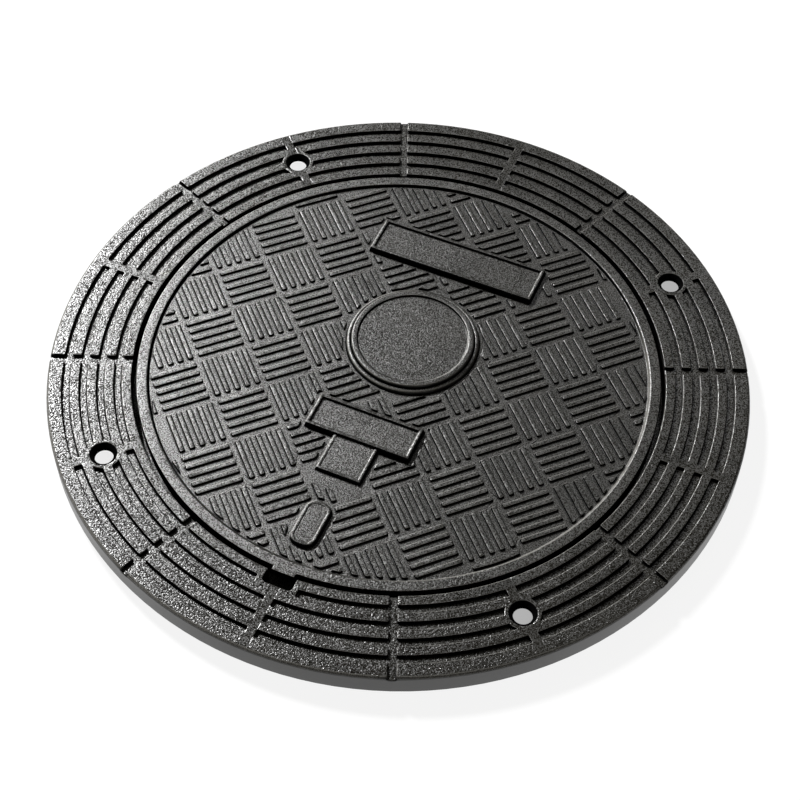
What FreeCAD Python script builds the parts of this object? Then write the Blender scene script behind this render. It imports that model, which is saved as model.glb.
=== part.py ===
import FreeCAD, Part
import math
import os

# A round cast iron access cover that rests in a flat ring frame bolted to the ground.
# All sizes are in millimetres. The origin is the centre of the base, +Z is up,
# and the pry notch is on the -Y side.

# Main fits: the clear opening, the seat, the flange and the height
OPENING_R = 300.0
SEAT_WIDTH = 23.5
FLANGE_WIDTH = 101.5
FRAME_HEIGHT = 30.0
SEAT_DEPTH = 21.0
COVER_GAP = 5.5

# Frame section
TOP_PLATE = 10.0
SKIRT = 10.0
INNER_WALL = 10.0
FRAME_EDGE = 2.5
FRAME_RIB_COUNT = 4
FRAME_RIB_ROOT = 11.0
FRAME_RIB_FOOT = 8.0

# Grip pattern on the frame: ring grooves, plain bridges across them, radial channels
GROOVE_COUNT = 4
GROOVE_WIDTH = 9.0
GROOVE_DEPTH = 4.0
GROOVE_OUTER_LAND = 18.5
GROOVE_INNER_LAND = 12.0
SECTOR_COUNT = 8
BRIDGE_WIDTH = 11.0
CHANNEL_WIDTH = 9.0

# Countersunk anchor holes
BOLT_COUNT = 4
BOLT_INSET = 55.0
BOLT_HOLE_D = 22.0
COUNTERSINK_D = 32.0
BOLT_LAND = 5.0

# Pry notch in the frame and the lug of the cover that stands over it
NOTCH_WIDTH = 36.0
NOTCH_REACH = 16.5
NOTCH_CORNER = 4.5
NOTCH_LAND = 7.0
NOTCH_WALL = 7.0
LUG_WIDTH = 28.5
LUG_THICKNESS = 9.0
LUG_GAP = 0.5

# Cover section
RIM_WIDTH = 13.0
RIM_SLOPE = 2.5
RIM_WALL = 20.0
FIELD_DROP = 3.6
COVER_PLATE = 7.5

# Stiffening ribs under the cover
COVER_RIB_COUNT = 8
COVER_RIB_ROOT = 11.0
COVER_RIB_FOOT = 7.0
COVER_RIB_CLEARANCE = 0.5
CROSS_RIB_R = 150.0

# Raised basket weave
TILE_PITCH = 64.5
BARS_PER_TILE = 5
BAR_PITCH = 12.6
BAR_WIDTH = 6.8
BAR_LENGTH = 57.5
BAR_HEIGHT = 2.4
BAR_DRAFT = 0.7
WEAVE_ANGLE = 45.0
WEAVE_EDGE = 2.0
WEAVE_MARGIN = 4.5
BAR_SMALLEST = 150.0
WEAVE_SIDES = 48

# Raised blank plates, each with a sunk panel: size at the top, place and height above the field
PAD_DRAFT = 1.6
PLATE_HEIGHT = 6.0
PLATE_BORDER = 3.6
PLATE_SINK = 2.0
LONG_PLATE_X = 219.0
LONG_PLATE_Y = 54.0
LONG_PLATE_PLACE = 186.5
SHORT_PLATE_X = 132.5
SHORT_PLATE_Y = 46.5
SHORT_PLATE_PLACE = -103.0
STEM_WIDTH = 56.0
STEM_LENGTH = 52.0
STEM_HEIGHT = 3.4
BLANK_WIDTH = 70.0
BLANK_LENGTH = 20.0

# Raised oval pad near the rim
OVAL_WIDTH = 30.5
OVAL_LENGTH = 60.5
OVAL_CORNER = 12.5
OVAL_PLACE = -250.5
OVAL_HEIGHT = 4.2

# Raised round boss: a low step, a rounded ring on it and a sunk face inside the ring
BOSS_PLACE = 42.0
BOSS_STEP_R = 80.5
BOSS_STEP_HEIGHT = 4.2
BOSS_RING_R = 75.0
BOSS_FACE_R = 68.5
BOSS_HEIGHT = 9.0
BOSS_SINK = 2.2
BOSS_DRAFT = 1.4

# Overlap that lets a raised form grow out of the casting below it
ROOT = 1.0

# Radii and levels that follow from the sizes above
BORE_R = OPENING_R + SEAT_WIDTH
FRAME_R = BORE_R + FLANGE_WIDTH
COVER_R = BORE_R - COVER_GAP
BOLT_CIRCLE_R = FRAME_R - BOLT_INSET
TOP_Z = FRAME_HEIGHT
SEAT_Z = TOP_Z - SEAT_DEPTH
FRAME_UNDER_Z = TOP_Z - TOP_PLATE
GROOVE_Z = TOP_Z - GROOVE_DEPTH
FIELD_Z = TOP_Z - FIELD_DROP
COVER_UNDER_Z = FIELD_Z - COVER_PLATE
FIELD_R = COVER_R - RIM_WIDTH - RIM_SLOPE
SECTOR = 360.0 / SECTOR_COUNT


def point(x, y, z=0.0):
    return FreeCAD.Vector(x, y, z)


def turned(shape, degrees):
    copy = shape.copy()
    copy.rotate(point(0, 0), point(0, 0, 1), degrees)
    return copy


def ring_of(shape, count, first=0.0):
    return [turned(shape, first + index * 360.0 / count) for index in range(count)]


def revolved(profile):
    corners = [point(r, 0, z) for r, z in profile]
    face = Part.Face(Part.makePolygon(corners + corners[:1]))
    return face.revolve(point(0, 0), point(0, 0, 1), 360)


def rectangle(centre_y, size_x, size_y, z):
    x, low, high = size_x / 2, centre_y - size_y / 2, centre_y + size_y / 2
    corners = [point(-x, low, z), point(x, low, z), point(x, high, z), point(-x, high, z)]
    return Part.makePolygon(corners + corners[:1])


def rounded_rectangle(centre_y, size_x, size_y, corner, z):
    face = Part.Face(rectangle(centre_y, size_x, size_y, z))
    block = face.extrude(point(0, 0, 1))
    uprights = [edge for edge in block.Edges if abs(edge.tangentAt(edge.FirstParameter).z) > 0.5]
    rounded = block.makeFillet(corner, uprights)
    lowest = min(rounded.Faces, key=lambda side: side.CenterOfMass.z)
    return lowest.OuterWire


def drafted(low_wire, high_wire):
    return Part.makeLoft([low_wire, high_wire], True, True)


def drafted_block(centre_y, low_x, low_y, low_z, high_x, high_y, high_z):
    low = rectangle(centre_y, low_x, low_y, low_z)
    high = rectangle(centre_y, high_x, high_y, high_z)
    sides = []
    for low_edge, high_edge in zip(low.Edges, high.Edges):
        start, end = [vertex.Point for vertex in low_edge.Vertexes]
        high_start, high_end = [vertex.Point for vertex in high_edge.Vertexes]
        sides.append(Part.Face(Part.makePolygon([start, end, high_end, high_start, start])))
    return Part.Solid(Part.Shell(sides + [Part.Face(low), Part.Face(high)]))


def frame_casting():
    profile = [
        (OPENING_R, 0),
        (BORE_R + INNER_WALL, 0),
        (BORE_R + INNER_WALL, FRAME_UNDER_Z),
        (FRAME_R - SKIRT, FRAME_UNDER_Z),
        (FRAME_R - SKIRT, 0),
        (FRAME_R, 0),
        (FRAME_R, TOP_Z - FRAME_EDGE),
        (FRAME_R - FRAME_EDGE, TOP_Z),
        (BORE_R, TOP_Z),
        (BORE_R, SEAT_Z),
        (OPENING_R, SEAT_Z),
    ]
    return revolved(profile)


def frame_ribs():
    length = FLANGE_WIDTH - INNER_WALL - SKIRT + 2 * ROOT
    middle = (BORE_R + INNER_WALL + FRAME_R - SKIRT) / 2
    rib = drafted_block(-middle, FRAME_RIB_FOOT, length, 0, FRAME_RIB_ROOT, length, FRAME_UNDER_Z + ROOT)
    return ring_of(rib, FRAME_RIB_COUNT)


def groove_rings():
    outermost = FRAME_R - GROOVE_OUTER_LAND - GROOVE_WIDTH / 2
    innermost = BORE_R + GROOVE_INNER_LAND + GROOVE_WIDTH / 2
    pitch = (outermost - innermost) / (GROOVE_COUNT - 1)
    rings = []
    for index in range(GROOVE_COUNT):
        inner = innermost + index * pitch - GROOVE_WIDTH / 2
        outer = inner + GROOVE_WIDTH
        rings.append(revolved([(inner, GROOVE_Z), (outer, GROOVE_Z), (outer, TOP_Z), (inner, TOP_Z)]))
    return rings


def flange_strip(width):
    middle = -(BORE_R + FRAME_R) / 2
    face = Part.Face(rectangle(middle, width, FLANGE_WIDTH + 2 * ROOT, GROOVE_Z))
    return face.extrude(point(0, 0, GROOVE_DEPTH))


def plain_lands():
    hole_land = Part.makeCylinder(
        COUNTERSINK_D / 2 + BOLT_LAND, GROOVE_DEPTH, point(0, -BOLT_CIRCLE_R, GROOVE_Z))
    notch_length = NOTCH_REACH + NOTCH_LAND
    notch_wire = rectangle(
        -BORE_R - notch_length / 2, NOTCH_WIDTH + 2 * NOTCH_LAND, notch_length, GROOVE_Z)
    notch_land = Part.Face(notch_wire).extrude(point(0, 0, GROOVE_DEPTH))
    bridges = ring_of(flange_strip(BRIDGE_WIDTH), SECTOR_COUNT)
    hole_lands = ring_of(hole_land, BOLT_COUNT, SECTOR)
    return bridges + hole_lands + [notch_land]


def radial_channels():
    return ring_of(flange_strip(CHANNEL_WIDTH), SECTOR_COUNT, SECTOR / 2)


def anchor_holes():
    sink_depth = (COUNTERSINK_D - BOLT_HOLE_D) / 2
    through = Part.makeCylinder(BOLT_HOLE_D / 2, TOP_Z, point(0, -BOLT_CIRCLE_R, 0))
    sink = Part.makeCone(
        BOLT_HOLE_D / 2, COUNTERSINK_D / 2, sink_depth, point(0, -BOLT_CIRCLE_R, TOP_Z - sink_depth))
    return ring_of(through.fuse(sink), BOLT_COUNT, SECTOR)


def notch_pocket(extra, low_z, high_z):
    length = 2 * (NOTCH_REACH + extra)
    wire = rounded_rectangle(-BORE_R, NOTCH_WIDTH + 2 * extra, length, NOTCH_CORNER + extra, low_z)
    return Part.Face(wire).extrude(point(0, 0, high_z - low_z))


def notch_wall():
    block = notch_pocket(NOTCH_WALL, 0, FRAME_UNDER_Z + ROOT)
    return block.cut(Part.makeCylinder(BORE_R + ROOT, TOP_Z))


def make_frame():
    grooves = groove_rings()
    pattern = grooves[0].multiFuse(grooves[1:]).cut(plain_lands())
    frame = frame_casting().multiFuse(frame_ribs() + [notch_wall()])
    frame = frame.cut([pattern] + radial_channels() + anchor_holes())
    frame = frame.cut(notch_pocket(0, SEAT_Z, TOP_Z))
    return frame.removeSplitter()


def cover_casting():
    profile = [
        (0, COVER_UNDER_Z),
        (COVER_R - RIM_WALL, COVER_UNDER_Z),
        (COVER_R - RIM_WALL, SEAT_Z),
        (COVER_R, SEAT_Z),
        (COVER_R, TOP_Z),
        (COVER_R - RIM_WIDTH, TOP_Z),
        (FIELD_R, FIELD_Z),
        (0, FIELD_Z),
    ]
    return revolved(profile)


def cover_rib(centre_y, foot_x, foot_y, extra):
    foot_z, root_z = SEAT_Z + COVER_RIB_CLEARANCE, COVER_UNDER_Z + ROOT
    return drafted_block(centre_y, foot_x, foot_y, foot_z, foot_x + extra[0], foot_y + extra[1], root_z)


def cover_ribs():
    widening = COVER_RIB_ROOT - COVER_RIB_FOOT
    reach = COVER_R - RIM_WALL + ROOT
    radial = cover_rib(-reach / 2, COVER_RIB_FOOT, reach, (widening, 0))
    half_turn = math.pi / COVER_RIB_COUNT
    cross_length = 2 * CROSS_RIB_R * math.sin(half_turn)
    cross = cover_rib(-CROSS_RIB_R * math.cos(half_turn), cross_length, COVER_RIB_FOOT, (0, widening))
    return ring_of(radial, COVER_RIB_COUNT) + ring_of(cross, COVER_RIB_COUNT, 180.0 / COVER_RIB_COUNT)


def lifting_lug():
    length = COVER_GAP + RIM_WIDTH - LUG_GAP
    wire = rectangle(-BORE_R + LUG_GAP + length / 2, LUG_WIDTH, length, TOP_Z - LUG_THICKNESS)
    lug = Part.Face(wire).extrude(point(0, 0, LUG_THICKNESS))
    return lug.common(Part.makeCylinder(BORE_R - LUG_GAP, TOP_Z))


def pad(centre_y, top_x, top_y, height):
    slope = PAD_DRAFT * (height + ROOT) / height
    return drafted_block(
        centre_y, top_x + 2 * slope, top_y + 2 * slope, FIELD_Z - ROOT, top_x, top_y, FIELD_Z + height)


def blank_plate(centre_y, top_x, top_y):
    panel_x, panel_y = top_x - 2 * PLATE_BORDER, top_y - 2 * PLATE_BORDER
    top_z = FIELD_Z + PLATE_HEIGHT
    sink = drafted_block(
        centre_y, panel_x - PLATE_SINK, panel_y - PLATE_SINK, top_z - PLATE_SINK, panel_x, panel_y, top_z)
    return pad(centre_y, top_x, top_y, PLATE_HEIGHT).cut(sink)


def stem_front():
    return SHORT_PLATE_PLACE - SHORT_PLATE_Y / 2 - STEM_LENGTH


def stem_plate():
    length = STEM_LENGTH + SHORT_PLATE_Y / 2
    return pad(stem_front() + length / 2, STEM_WIDTH, length, STEM_HEIGHT)


def oval_pad():
    slope = PAD_DRAFT * (OVAL_HEIGHT + ROOT) / OVAL_HEIGHT
    low = rounded_rectangle(
        OVAL_PLACE, OVAL_WIDTH + 2 * slope, OVAL_LENGTH + 2 * slope, OVAL_CORNER + slope, FIELD_Z - ROOT)
    high = rounded_rectangle(OVAL_PLACE, OVAL_WIDTH, OVAL_LENGTH, OVAL_CORNER, FIELD_Z + OVAL_HEIGHT)
    return drafted(low, high)


def round_boss():
    step_z, ring_z = FIELD_Z + BOSS_STEP_HEIGHT, FIELD_Z + BOSS_HEIGHT
    profile = [
        (0, FIELD_Z - ROOT),
        (BOSS_STEP_R + BOSS_DRAFT, FIELD_Z - ROOT),
        (BOSS_STEP_R, step_z),
        (BOSS_RING_R + BOSS_DRAFT, step_z),
        (BOSS_RING_R, ring_z),
        (BOSS_FACE_R, ring_z),
        (BOSS_FACE_R - BOSS_SINK / 2, ring_z - BOSS_SINK),
        (0, ring_z - BOSS_SINK),
    ]
    boss = revolved(profile)
    boss.translate(point(0, BOSS_PLACE))
    return boss


def round_outline(centre_y, radius, z):
    turn = 2 * math.pi / WEAVE_SIDES
    corners = []
    for index in range(WEAVE_SIDES):
        angle = index * turn
        corners.append(point(radius * math.cos(angle), centre_y + radius * math.sin(angle), z))
    return Part.makePolygon(corners + corners[:1])


def weave_bounds():
    low_z, depth = FIELD_Z - ROOT, BAR_HEIGHT + 2 * ROOT
    up = point(0, 0, depth)
    bounds = Part.Face(round_outline(0, FIELD_R - WEAVE_EDGE, low_z)).extrude(up)
    spread = 2 * (WEAVE_MARGIN + PAD_DRAFT)
    stem_length = STEM_LENGTH + BLANK_LENGTH
    stem_middle = SHORT_PLATE_PLACE - SHORT_PLATE_Y / 2 - stem_length / 2
    blank_middle = stem_front() - BLANK_LENGTH / 2
    outlines = [
        rectangle(LONG_PLATE_PLACE, LONG_PLATE_X + spread, LONG_PLATE_Y + spread, low_z),
        rectangle(SHORT_PLATE_PLACE, SHORT_PLATE_X + spread, SHORT_PLATE_Y + spread, low_z),
        rectangle(stem_middle, STEM_WIDTH + spread, stem_length, low_z),
        rectangle(blank_middle, BLANK_WIDTH, BLANK_LENGTH, low_z),
        rounded_rectangle(OVAL_PLACE, OVAL_WIDTH + spread, OVAL_LENGTH + spread,
                          OVAL_CORNER + spread / 2, low_z),
        round_outline(BOSS_PLACE, BOSS_STEP_R + BOSS_DRAFT + WEAVE_MARGIN, low_z),
    ]
    return bounds.cut([Part.Face(outline).extrude(up) for outline in outlines])


def weave_bar():
    slope = BAR_DRAFT * ROOT / BAR_HEIGHT
    return drafted_block(
        0, BAR_WIDTH + 2 * slope, BAR_LENGTH + 2 * slope, FIELD_Z - ROOT,
        BAR_WIDTH - 2 * BAR_DRAFT, BAR_LENGTH - 2 * BAR_DRAFT, FIELD_Z + BAR_HEIGHT)


def weave_bars():
    reach = math.ceil(FIELD_R / TILE_PITCH)
    bar = weave_bar()
    bars = []
    for column in range(-reach, reach + 1):
        for row in range(-reach, reach + 1):
            if math.hypot(column, row) * TILE_PITCH > FIELD_R + BAR_LENGTH:
                continue
            for index in range(BARS_PER_TILE):
                copy = bar.copy()
                copy.translate(point((index - (BARS_PER_TILE - 1) / 2) * BAR_PITCH, 0))
                if (column + row) % 2:
                    copy.rotate(point(0, 0), point(0, 0, 1), 90)
                copy.translate(point(column * TILE_PITCH, row * TILE_PITCH))
                bars.append(turned(copy, WEAVE_ANGLE))
    trimmed = Part.makeCompound(bars).common(weave_bounds())
    return [solid for solid in trimmed.Solids if solid.Volume > BAR_SMALLEST]


def make_cover():
    raised = [
        lifting_lug(),
        blank_plate(LONG_PLATE_PLACE, LONG_PLATE_X, LONG_PLATE_Y),
        blank_plate(SHORT_PLATE_PLACE, SHORT_PLATE_X, SHORT_PLATE_Y),
        stem_plate(),
        oval_pad(),
        round_boss(),
    ]
    cover = cover_casting().multiFuse(raised + cover_ribs() + weave_bars())
    return cover.removeSplitter()


os.makedirs("parts", exist_ok=True)
for name, shape in (("frame", make_frame()), ("cover", make_cover())):
    shape.exportStep("parts/" + name + ".step")
    print(name, shape.ShapeType, len(shape.Solids), "solids", shape.isValid(), round(shape.Volume))
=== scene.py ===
import math

import bmesh
import bpy
from mathutils import Matrix, Vector


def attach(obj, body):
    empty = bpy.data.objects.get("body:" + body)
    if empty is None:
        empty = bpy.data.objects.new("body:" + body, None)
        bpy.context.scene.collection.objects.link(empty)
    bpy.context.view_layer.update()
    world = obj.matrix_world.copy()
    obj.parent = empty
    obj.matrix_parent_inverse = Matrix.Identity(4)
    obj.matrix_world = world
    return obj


# A black coated cast iron access cover in its ring frame, on a white studio floor.
# All lengths are in metres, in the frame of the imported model.

# Camera: the way round from the -Y side, the height above the horizon and the place it looks at
VIEW_TURN = math.radians(22.5)
VIEW_RISE = math.radians(52.9)
VIEW_ROLL = math.radians(1.24)
VIEW_DISTANCE = 1.980
VIEW_TARGET = Vector((0.0226, -0.0491, 0.030))
SENSOR_MM = 36.0
LENS_MM = 74.49

# Studio: a round white floor in a dim grey room. The floor glows more away from the part, and less
# under it, where the anchor holes show it, from the left to the right: painted shade of the part on the
# floor
FLOOR_RADIUS = 40.0
FLOOR_SIDES = 128
FLOOR_WHITE = 0.82
FLOOR_LIT_SHARE = 0.14
FLOOR_GLOW_NEAR = 0.88
FLOOR_GLOW_FAR = 1.0
FLOOR_GLOW_START = 0.42
FLOOR_GLOW_END = 1.1
UNDER_R = 0.40
UNDER_GLOW_LEFT = 0.84
UNDER_GLOW_RIGHT = 0.40
ROOM_GREY = (0.08, 0.076, 0.068, 1.0)

# Lamps: the turn from the camera's side and the rise, both in degrees, the distance, size and power
LAMPS = {
    "key": {"turn": -145.5, "rise": 38.0, "distance": 6.0, "size": 1.0, "power": 710.0},
    "back": {"turn": 150.0, "rise": 36.0, "distance": 3.0, "size": 0.9, "power": 8.0},
}

# Edges: the gap that is welded, the widest rounding, the angle that counts as an edge, the weight of
# large faces in the shading, and the share of the rounding on each kind of edge
WELD_GAP = 0.00002
EDGE_ROUND = 0.0024
EDGE_STEPS = 3
EDGE_ANGLE = math.radians(33.0)
EVEN_WEIGHT = 100
OUTER_SHARE = 0.55
INNER_SHARE = 0.22
BAR_SHARE = 0.45
OVAL_SHARE = 0.50
PLATE_SHARE = 0.70
BOSS_SHARE = 0.6

# Levels, radii and places that tell the faces and edges of the castings apart
TOP_Z = 0.030
BAR_TOP_Z = 0.0288
STEM_TOP_Z = 0.0298
OVAL_TOP_Z = 0.0306
PLATE_TOP_Z = 0.0324
FIELD_R = 0.3025
SECTOR = math.radians(45.0)
BRIDGE_HALF = 0.0055
HOLE_PLACE = 0.2616
SINK_R = 0.0163
LEVEL_STEP = 0.0006

# Boss: its place along Y, the radii of its foot, step and ring, the level of the step, the radii of the
# painted shade lines beside the step, and how far the ring keeps clear of the painted shade on walls
BOSS_Y = 0.042
BOSS_R = 0.083
BOSS_STEP_R = 0.0805
BOSS_STEP_Z = 0.0306
RING_TOP_R = 0.0715
RING_CLEAR = 0.9
BOSS_SHADE_LINES = (0.0764, 0.0822)
SHADE_LINE_HALF = 0.0011

# Beads: rounded borders on the plates, the stem, the oval pad and the step of the boss. Each has its
# middle along Y, its half width, half length and corner in plan, and the level that it stands on
BEAD_WIDTH = 0.0054
BEAD_OUTSIDE = 0.0007
BEAD_RISE = 0.0008
BEAD_ROOT = 0.0004
BEAD_STEPS = 8
BEAD_ANGLE = math.radians(10.0)
BEAD_CORNER = 0.001
CORNER_STEPS = 16
QUARTER_TURN = math.pi / 2
CORNERS = ((1, 1), (-1, 1), (-1, -1), (1, -1))
BEADS = {
    "long_plate_bead": {
        "middle": 0.1865, "half_x": 0.1095, "half_y": 0.027, "corner": BEAD_CORNER, "top": PLATE_TOP_Z},
    "short_plate_bead": {
        "middle": -0.103, "half_x": 0.06625, "half_y": 0.02325, "corner": BEAD_CORNER, "top": PLATE_TOP_Z},
    "stem_bead": {
        "middle": -0.1503, "half_x": 0.028, "half_y": 0.0279, "corner": BEAD_CORNER, "top": STEM_TOP_Z},
    "boss_bead": {
        "middle": BOSS_Y, "half_x": BOSS_STEP_R, "half_y": BOSS_STEP_R, "corner": BOSS_STEP_R,
        "top": BOSS_STEP_Z},
    "oval_bead": {
        "middle": -0.2505, "half_x": 0.01525, "half_y": 0.03025, "corner": 0.0125, "top": OVAL_TOP_Z},
}

# Coating: colours, roughness, the speckle of its shine, and the size and height of its grain, which
# fades in with the upward share of the surface direction
IRON_DARK = (0.0092, 0.0087, 0.0068, 1.0)
IRON_LIGHT = (0.0152, 0.0142, 0.0114, 1.0)
# Painted highlight: the lighter colour of rounded edges that lean to the -Y or -X side
IRON_EDGE_HIGHLIGHT = (0.125, 0.121, 0.11, 1.0)
BLOTCH_SCALE = 22.0
BLOTCH_DETAIL = 4.0
BLOTCH_LOW = 0.3
BLOTCH_HIGH = 0.7
GLOSS_LOW = 0.305
GLOSS_HIGH = 0.325
SHINE_SPREAD = 0.57
FLAT_START = 0.4
FLAT_END = 0.8
SPECKLE_SCALE = 680.0
SPECKLE_LOW = 0.42
SPECKLE_HIGH = 0.58
GRAIN_DETAIL = 2.0
PEEL_SCALE = 480.0
PEEL_HEIGHT = 0.00055
FINE_SCALE = 640.0
FINE_HEIGHT = 0.0005
RELIEF_DISTANCE = 1.0

# Share of the coarse and the fine grain on each kind of face, and the mean shine of each casting
BRIDGE_PEEL = 0.3
RIM_PEEL = 0.5
FIELD_PEEL = 0.15
FRAME_FINE = 0.5
COVER_FINE = 1.0
FRAME_SHINE = 0.59
COVER_SHINE = 0.70

# Painted shade: black painted into the corners on the -Y side of each raised form, where shade falls. A
# face looks this far and this way for a neighbour, and is painted dark where little of that way is open
CREVICE_REACH = 0.0028
CREVICE_WAY = (0.0, 1.0, 0.6)
CREVICE_SAMPLES = 12
CREVICE_DARK = 0.60
CREVICE_OPEN = 0.88
CREVICE_MATT = 0.25
SHADE_AND_SINK_BLACK = (0.002, 0.002, 0.002, 1.0)

# Painted wall shade: the share of the surface direction towards -Y or +X where a wall starts to be painted
# dark and is painted dark, and the radius beyond which the outer side of the frame stays as it is
WALL_START = 0.30
WALL_DARK = 0.55
LAND_R = 0.420

# Painted edge highlight: a lighter colour on rounded edges, where highlights fall. The upward share of the
# surface direction where a rounded edge starts, and its lean to the -Y or -X side
HIGHLIGHT_LOW = 0.60
HIGHLIGHT_FADE = 0.2
HIGHLIGHT_FACING = 0.24


# Camera and lamps
def direction(turn, rise):
    return Vector((math.sin(turn) * math.cos(rise), -math.cos(turn) * math.cos(rise), math.sin(rise)))


def add_camera():
    back = direction(VIEW_TURN, VIEW_RISE)
    right = Vector((math.cos(VIEW_TURN), math.sin(VIEW_TURN), 0.0))
    up = back.cross(right)
    side = math.cos(VIEW_ROLL) * right + math.sin(VIEW_ROLL) * up
    top = back.cross(side)
    data = bpy.data.cameras.new("camera")
    data.sensor_width = SENSOR_MM
    data.lens = LENS_MM
    camera = bpy.data.objects.new("camera", data)
    place = Matrix.Translation(VIEW_TARGET + VIEW_DISTANCE * back)
    camera.matrix_world = place @ Matrix((side, top, back)).transposed().to_4x4()
    bpy.context.scene.collection.objects.link(camera)
    bpy.context.scene.camera = camera


def add_lamp(name, turn, rise, distance, size, power):
    data = bpy.data.lights.new(name, "AREA")
    data.shape = "DISK"
    data.size = size
    data.energy = power
    lamp = bpy.data.objects.new(name, data)
    away = direction(VIEW_TURN + math.radians(turn), math.radians(rise))
    lamp.location = away * distance
    lamp.rotation_euler = away.to_track_quat("Z", "Y").to_euler()
    bpy.context.scene.collection.objects.link(lamp)


# Nodes that the materials and the edges share
def new_tree(material):
    material.use_nodes = True
    material.node_tree.nodes.clear()
    return material.node_tree


def join(tree, source, target):
    if isinstance(source, bpy.types.NodeSocket):
        tree.links.new(source, target)
    else:
        target.default_value = source


def maths(tree, operation, first, second=0.0, third=0.0):
    node = tree.nodes.new("ShaderNodeMath")
    node.operation = operation
    join(tree, first, node.inputs[0])
    join(tree, second, node.inputs[1])
    join(tree, third, node.inputs[2])
    return node.outputs[0]


def ramp(tree, value, low, high, out_low=0.0, out_high=1.0):
    node = tree.nodes.new("ShaderNodeMapRange")
    node.interpolation_type = "SMOOTHSTEP"
    join(tree, value, node.inputs["Value"])
    node.inputs["From Min"].default_value = low
    node.inputs["From Max"].default_value = high
    node.inputs["To Min"].default_value = out_low
    node.inputs["To Max"].default_value = out_high
    return node.outputs[0]


def noise(tree, place, scale, detail):
    node = tree.nodes.new("ShaderNodeTexNoise")
    tree.links.new(place, node.inputs["Vector"])
    node.inputs["Scale"].default_value = scale
    node.inputs["Detail"].default_value = detail
    return node.outputs[0]


def surface_place(tree):
    place = tree.nodes.new("ShaderNodeTexCoord").outputs["Object"]
    split = tree.nodes.new("ShaderNodeSeparateXYZ")
    tree.links.new(place, split.inputs[0])
    return place, split.outputs["X"], split.outputs["Y"]


def distance_of(tree, across, along):
    across = maths(tree, "MULTIPLY", across, across)
    along = maths(tree, "MULTIPLY", along, along)
    return maths(tree, "SQRT", maths(tree, "ADD", across, along))


def surface_way(tree):
    turn = tree.nodes.new("ShaderNodeVectorTransform")
    turn.vector_type = "NORMAL"
    turn.convert_from = "WORLD"
    turn.convert_to = "OBJECT"
    tree.links.new(tree.nodes.new("ShaderNodeNewGeometry").outputs["Normal"], turn.inputs[0])
    split = tree.nodes.new("ShaderNodeSeparateXYZ")
    tree.links.new(turn.outputs[0], split.inputs[0])
    right, back, up = split.outputs
    return right, maths(tree, "MULTIPLY", back, -1.0), up


# White floor and grey room
# Painted shade of the part on the floor: the glow is lower near the part and under it, and under it lower
# to the right
def floor_glow(tree):
    _, x, y = surface_place(tree)
    radius = distance_of(tree, x, y)
    around = ramp(tree, radius, FLOOR_GLOW_START, FLOOR_GLOW_END, FLOOR_GLOW_NEAR, FLOOR_GLOW_FAR)
    under = ramp(tree, x, -UNDER_R, UNDER_R, UNDER_GLOW_LEFT, UNDER_GLOW_RIGHT)
    beside = maths(tree, "GREATER_THAN", radius, UNDER_R)
    around = maths(tree, "MULTIPLY", beside, around)
    under = maths(tree, "MULTIPLY", maths(tree, "SUBTRACT", 1.0, beside), under)
    return maths(tree, "ADD", around, under)


def seen_directly(tree):
    path = tree.nodes.new("ShaderNodeLightPath")
    seen = maths(tree, "MAXIMUM", path.outputs["Is Camera Ray"], path.outputs["Is Glossy Ray"])
    return maths(tree, "MAXIMUM", seen, path.outputs["Is Transmission Ray"])


def matt_white(tree, level):
    shader = tree.nodes.new("ShaderNodeBsdfDiffuse")
    shader.inputs["Color"].default_value = (level, level, level, 1.0)
    return shader.outputs[0]


def studio_material():
    material = bpy.data.materials.new("studio_white")
    tree = new_tree(material)
    white = tree.nodes.new("ShaderNodeEmission")
    tree.links.new(floor_glow(tree), white.inputs["Strength"])
    shown = tree.nodes.new("ShaderNodeAddShader")
    tree.links.new(matt_white(tree, FLOOR_LIT_SHARE), shown.inputs[0])
    tree.links.new(white.outputs[0], shown.inputs[1])
    mixed = tree.nodes.new("ShaderNodeMixShader")
    tree.links.new(seen_directly(tree), mixed.inputs[0])
    tree.links.new(matt_white(tree, FLOOR_WHITE), mixed.inputs[1])
    tree.links.new(shown.outputs[0], mixed.inputs[2])
    output = tree.nodes.new("ShaderNodeOutputMaterial")
    tree.links.new(mixed.outputs[0], output.inputs["Surface"])
    return material


def add_studio():
    mesh = bmesh.new()
    bmesh.ops.create_circle(mesh, cap_ends=True, segments=FLOOR_SIDES, radius=FLOOR_RADIUS)
    data = bpy.data.meshes.new("studio")
    mesh.to_mesh(data)
    mesh.free()
    data.materials.append(studio_material())
    studio = bpy.data.objects.new("studio", data)
    bpy.context.scene.collection.objects.link(studio)


def set_room():
    world = bpy.data.worlds.new("room")
    world.use_nodes = True
    world.node_tree.nodes["Background"].inputs["Color"].default_value = ROOM_GREY
    bpy.context.scene.world = world


# Where the coating is rough, dark or worn
def frame_grain(tree, x, y):
    radius = distance_of(tree, x, y)
    turn = maths(tree, "PINGPONG", maths(tree, "ARCTAN2", y, x), SECTOR / 2)
    beside = maths(tree, "MULTIPLY", radius, turn)
    bridge = ramp(tree, beside, BRIDGE_HALF - LEVEL_STEP, BRIDGE_HALF + LEVEL_STEP, BRIDGE_PEEL, 1.0)
    return bridge, FRAME_FINE, FRAME_SHINE


def cover_grain(tree, x, y):
    radius = distance_of(tree, x, y)
    peel = ramp(tree, radius, FIELD_R - LEVEL_STEP, FIELD_R + LEVEL_STEP, FIELD_PEEL, RIM_PEEL)
    return peel, COVER_FINE, COVER_SHINE


# Painted shade: walls that face -Y or +X are painted dark
def painted_wall_shade(tree):
    right, front, _ = surface_way(tree)
    return ramp(tree, maths(tree, "MAXIMUM", front, right), WALL_START, WALL_DARK, 1.0, 0.0)


# Where the frame keeps its coat: outside the painted corner shade, outside the painted wall shade inside
# LAND_R, and outside the black countersinks
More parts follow.
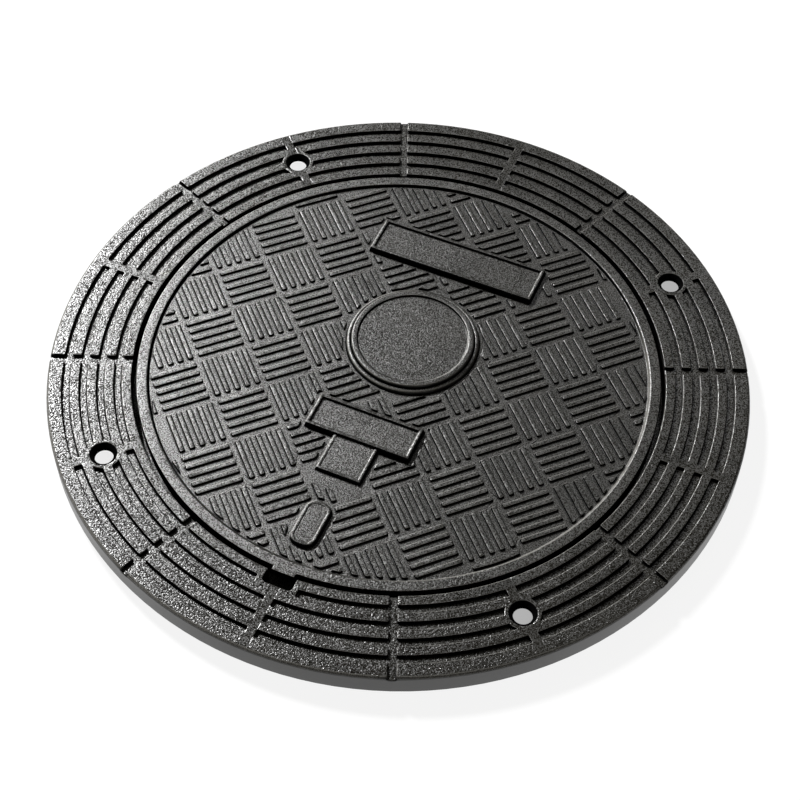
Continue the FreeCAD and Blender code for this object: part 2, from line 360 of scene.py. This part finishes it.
def frame_open(tree, x, y, corner):
    across = maths(tree, "SUBTRACT", maths(tree, "ABSOLUTE", x), HOLE_PLACE)
    along = maths(tree, "SUBTRACT", maths(tree, "ABSOLUTE", y), HOLE_PLACE)
    hole = ramp(tree, distance_of(tree, across, along), SINK_R - LEVEL_STEP, SINK_R + LEVEL_STEP)
    outside = maths(tree, "GREATER_THAN", distance_of(tree, x, y), LAND_R)
    wall = maths(tree, "MAXIMUM", outside, painted_wall_shade(tree))
    return maths(tree, "MULTIPLY", corner, maths(tree, "MULTIPLY", hole, wall))


# Where the cover keeps its coat: outside the painted wall shade and the painted corner shade, with the
# ring of the boss mostly kept clear, and outside the painted shade lines beside the step of the boss
def cover_open(tree, x, y, corner):
    boss_r = distance_of(tree, x, maths(tree, "SUBTRACT", y, BOSS_Y))
    on_ring = maths(tree, "COMPARE", boss_r, (BOSS_R + RING_TOP_R) / 2, (BOSS_R - RING_TOP_R) / 2)
    wall = maths(tree, "MULTIPLY", corner, painted_wall_shade(tree))
    clear = maths(tree, "MAXIMUM", maths(tree, "MULTIPLY", on_ring, RING_CLEAR), wall)
    # Painted shade: thin black lines in the corners beside the step of the boss
    for shade_line_r in BOSS_SHADE_LINES:
        away = maths(tree, "ABSOLUTE", maths(tree, "SUBTRACT", boss_r, shade_line_r))
        clear = maths(tree, "MULTIPLY", clear, ramp(tree, away, SHADE_LINE_HALF / 2, SHADE_LINE_HALF))
    return clear


# Painted shade: an occlusion test that leans to +Y blackens the -Y side of raised forms, where shade falls
def painted_corner_shade(tree):
    way = tree.nodes.new("ShaderNodeVectorTransform")
    way.vector_type = "NORMAL"
    way.convert_from = "OBJECT"
    way.convert_to = "WORLD"
    way.inputs[0].default_value = CREVICE_WAY
    node = tree.nodes.new("ShaderNodeAmbientOcclusion")
    node.samples = CREVICE_SAMPLES
    node.only_local = True
    node.inputs["Distance"].default_value = CREVICE_REACH
    tree.links.new(way.outputs[0], node.inputs["Normal"])
    return ramp(tree, node.outputs["AO"], CREVICE_DARK, CREVICE_OPEN)


# Painted highlight on rounded edges that lean to the -Y or -X side, outside the painted shade
def painted_edge_highlight(tree, clear):
    right, front, up = surface_way(tree)
    left = maths(tree, "MULTIPLY", right, -1.0)
    facing = ramp(tree, maths(tree, "MAXIMUM", front, left), HIGHLIGHT_FACING / 2, HIGHLIGHT_FACING)
    start = ramp(tree, up, HIGHLIGHT_LOW - HIGHLIGHT_FADE, HIGHLIGHT_LOW)
    return maths(tree, "MULTIPLY", maths(tree, "MULTIPLY", clear, start), facing)


# Black coating of the castings
def blend(tree, share, first, second):
    node = tree.nodes.new("ShaderNodeMix")
    node.data_type = "RGBA"
    join(tree, share, node.inputs["Factor"])
    join(tree, first, node.inputs["A"])
    join(tree, second, node.inputs["B"])
    return node.outputs["Result"]


def iron_relief(tree, place, upward, peel_share, fine_share):
    peel = maths(tree, "MULTIPLY", noise(tree, place, PEEL_SCALE, GRAIN_DETAIL), peel_share)
    fine = maths(tree, "MULTIPLY", noise(tree, place, FINE_SCALE, GRAIN_DETAIL), FINE_HEIGHT * fine_share)
    height = maths(tree, "ADD", maths(tree, "MULTIPLY", peel, PEEL_HEIGHT), fine)
    bump = tree.nodes.new("ShaderNodeBump")
    bump.inputs["Distance"].default_value = RELIEF_DISTANCE
    tree.links.new(maths(tree, "MULTIPLY", upward, height), bump.inputs["Height"])
    return bump.outputs[0]


def iron_colour(tree, blotch, clear):
    coat = blend(tree, blotch, IRON_DARK, IRON_LIGHT)
    coat = blend(tree, painted_edge_highlight(tree, clear), coat, IRON_EDGE_HIGHLIGHT)
    # Where clear is low the coat is black: painted shade, and the countersinks of the anchor holes
    return blend(tree, clear, SHADE_AND_SINK_BLACK, coat)


def iron_roughness(tree, blotch, clear):
    gloss = ramp(tree, blotch, 0.0, 1.0, GLOSS_LOW, GLOSS_HIGH)
    matt = ramp(tree, clear, 0.0, 1.0, CREVICE_MATT, 0.0)
    return maths(tree, "ADD", gloss, matt)


def iron_shine(tree, place, upward, clear, mean):
    speckle = ramp(tree, noise(tree, place, SPECKLE_SCALE, GRAIN_DETAIL), SPECKLE_LOW, SPECKLE_HIGH,
                   -SHINE_SPREAD, SHINE_SPREAD)
    shine = maths(tree, "ADD", mean, maths(tree, "MULTIPLY", upward, speckle))
    # The painted shade also takes the shine away
    return maths(tree, "MULTIPLY", clear, shine)


def iron_material(name, grain_of, open_of):
    material = bpy.data.materials.new(name)
    tree = new_tree(material)
    place, x, y = surface_place(tree)
    peel_share, fine_share, shine_mean = grain_of(tree, x, y)
    clear = open_of(tree, x, y, painted_corner_shade(tree))
    upward = ramp(tree, surface_way(tree)[2], FLAT_START, FLAT_END)
    blotch = ramp(tree, noise(tree, place, BLOTCH_SCALE, BLOTCH_DETAIL), BLOTCH_LOW, BLOTCH_HIGH)
    relief = iron_relief(tree, place, upward, peel_share, fine_share)
    shine = iron_shine(tree, place, upward, clear, shine_mean)
    shader = tree.nodes.new("ShaderNodeBsdfPrincipled")
    tree.links.new(iron_colour(tree, blotch, clear), shader.inputs["Base Color"])
    tree.links.new(iron_roughness(tree, blotch, clear), shader.inputs["Roughness"])
    tree.links.new(shine, shader.inputs["Specular IOR Level"])
    tree.links.new(relief, shader.inputs["Normal"])
    output = tree.nodes.new("ShaderNodeOutputMaterial")
    tree.links.new(shader.outputs[0], output.inputs["Surface"])
    return material


# Rounded edges of the castings
def switch(tree, choice, first, second):
    node = tree.nodes.new("GeometryNodeSwitch")
    node.input_type = "FLOAT"
    join(tree, choice, node.inputs["Switch"])
    join(tree, first, node.inputs["False"])
    join(tree, second, node.inputs["True"])
    return node.outputs[0]


def edge_share(tree):
    split = tree.nodes.new("ShaderNodeSeparateXYZ")
    tree.links.new(tree.nodes.new("GeometryNodeInputPosition").outputs[0], split.inputs[0])
    x, y, z = split.outputs
    low = maths(tree, "LESS_THAN", z, BAR_TOP_Z + LEVEL_STEP)
    inside = maths(tree, "LESS_THAN", distance_of(tree, x, y), FIELD_R)
    on_field = maths(tree, "MULTIPLY", low, inside)
    raised = maths(tree, "GREATER_THAN", z, TOP_Z + LEVEL_STEP / 2)
    near_boss = maths(tree, "LESS_THAN", distance_of(tree, x, maths(tree, "SUBTRACT", y, BOSS_Y)), BOSS_R)
    on_boss = maths(tree, "MULTIPLY", raised, near_boss)
    pad_share = ramp(tree, z, OVAL_TOP_Z, PLATE_TOP_Z, OVAL_SHARE, PLATE_SHARE)
    share = switch(tree, on_field, OUTER_SHARE, BAR_SHARE)
    share = switch(tree, raised, share, pad_share)
    return switch(tree, on_boss, share, BOSS_SHARE)


def edge_tree():
    tree = bpy.data.node_groups.new("edge_rounding", "GeometryNodeTree")
    tree.interface.new_socket("Geometry", in_out="INPUT", socket_type="NodeSocketGeometry")
    tree.interface.new_socket("Geometry", in_out="OUTPUT", socket_type="NodeSocketGeometry")
    weld = tree.nodes.new("GeometryNodeMergeByDistance")
    weld.inputs["Distance"].default_value = WELD_GAP
    smooth = tree.nodes.new("GeometryNodeSetShadeSmooth")
    angle = tree.nodes.new("GeometryNodeInputMeshEdgeAngle").outputs["Signed Angle"]
    outer = maths(tree, "GREATER_THAN", angle, EDGE_ANGLE)
    inner = maths(tree, "LESS_THAN", angle, -EDGE_ANGLE)
    share = maths(tree, "ADD", maths(tree, "MULTIPLY", outer, edge_share(tree)),
                  maths(tree, "MULTIPLY", inner, INNER_SHARE))
    store = tree.nodes.new("GeometryNodeStoreNamedAttribute")
    store.domain = "EDGE"
    store.inputs["Name"].default_value = "bevel_weight_edge"
    tree.links.new(share, store.inputs["Value"])
    start = tree.nodes.new("NodeGroupInput")
    end = tree.nodes.new("NodeGroupOutput")
    tree.links.new(start.outputs[0], weld.inputs["Geometry"])
    tree.links.new(weld.outputs[0], smooth.inputs["Geometry"])
    tree.links.new(smooth.outputs[0], store.inputs["Geometry"])
    tree.links.new(store.outputs[0], end.inputs[0])
    return tree


def round_edges(node, tree):
    choose = node.modifiers.new("edge_choice", "NODES")
    choose.node_group = tree
    edge = node.modifiers.new("rounded_edges", "BEVEL")
    edge.width = EDGE_ROUND
    edge.segments = EDGE_STEPS
    edge.limit_method = "WEIGHT"
    edge.use_clamp_overlap = False
    edge.miter_outer = "MITER_ARC"
    even = node.modifiers.new("even_shading", "WEIGHTED_NORMAL")
    even.keep_sharp = False
    even.weight = EVEN_WEIGHT


# Rounded borders
def bead_loop(inset, level, middle, half_x, half_y, corner):
    radius = max(corner - inset, 0.0)
    centre_x, centre_y = half_x - inset - radius, half_y - inset - radius
    points = []
    for quarter, (right, back) in enumerate(CORNERS):
        for step in range(CORNER_STEPS + 1):
            angle = (quarter + step / CORNER_STEPS) * QUARTER_TURN
            points.append((right * centre_x + radius * math.cos(angle),
                           middle + back * centre_y + radius * math.sin(angle), level))
    return points


def add_bead(name, material, middle, half_x, half_y, corner, top):
    mesh = bmesh.new()
    loops = []
    for step in range(BEAD_STEPS + 1):
        share = step / BEAD_STEPS
        level = top - BEAD_ROOT + (BEAD_RISE + BEAD_ROOT) * (1 - (2 * share - 1) ** 2)
        places = bead_loop(BEAD_WIDTH * share - BEAD_OUTSIDE, level, middle, half_x, half_y, corner)
        loops.append([mesh.verts.new(place) for place in places])
    for near, far in zip(loops, loops[1:] + loops[:1]):
        for first, second in zip(range(len(near)), range(1 - len(near), 1)):
            mesh.faces.new((near[first], near[second], far[second], far[first]))
    bmesh.ops.remove_doubles(mesh, verts=mesh.verts, dist=WELD_GAP)
    bmesh.ops.recalc_face_normals(mesh, faces=mesh.faces)
    data = bpy.data.meshes.new(name)
    mesh.to_mesh(data)
    mesh.free()
    data.shade_smooth()
    data.set_sharp_from_angle(angle=BEAD_ANGLE)
    data.materials.append(material)
    bead = bpy.data.objects.new(name, data)
    bpy.context.scene.collection.objects.link(bead)
    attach(bead, "root")


def dress(node, material, tree):
    node.data.materials.clear()
    node.data.materials.append(material)
    round_edges(node, tree)


# The scene
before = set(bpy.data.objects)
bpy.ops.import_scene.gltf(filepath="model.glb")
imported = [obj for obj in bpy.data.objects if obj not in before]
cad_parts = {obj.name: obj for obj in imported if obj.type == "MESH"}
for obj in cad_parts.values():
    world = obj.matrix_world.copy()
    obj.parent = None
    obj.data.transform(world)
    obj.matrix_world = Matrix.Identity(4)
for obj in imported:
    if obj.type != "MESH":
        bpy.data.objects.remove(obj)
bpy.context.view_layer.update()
bpy.context.scene.view_settings.view_transform = "Standard"
add_camera()
add_studio()
set_room()
for lamp_name, lamp in LAMPS.items():
    add_lamp(lamp_name, **lamp)
edges = edge_tree()
dress(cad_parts["frame"], iron_material("frame_iron_coat", frame_grain, frame_open), edges)
cover_iron = iron_material("cover_iron_coat", cover_grain, cover_open)
dress(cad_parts["cover"], cover_iron, edges)
for bead_name, bead in BEADS.items():
    add_bead(bead_name, cover_iron, **bead)
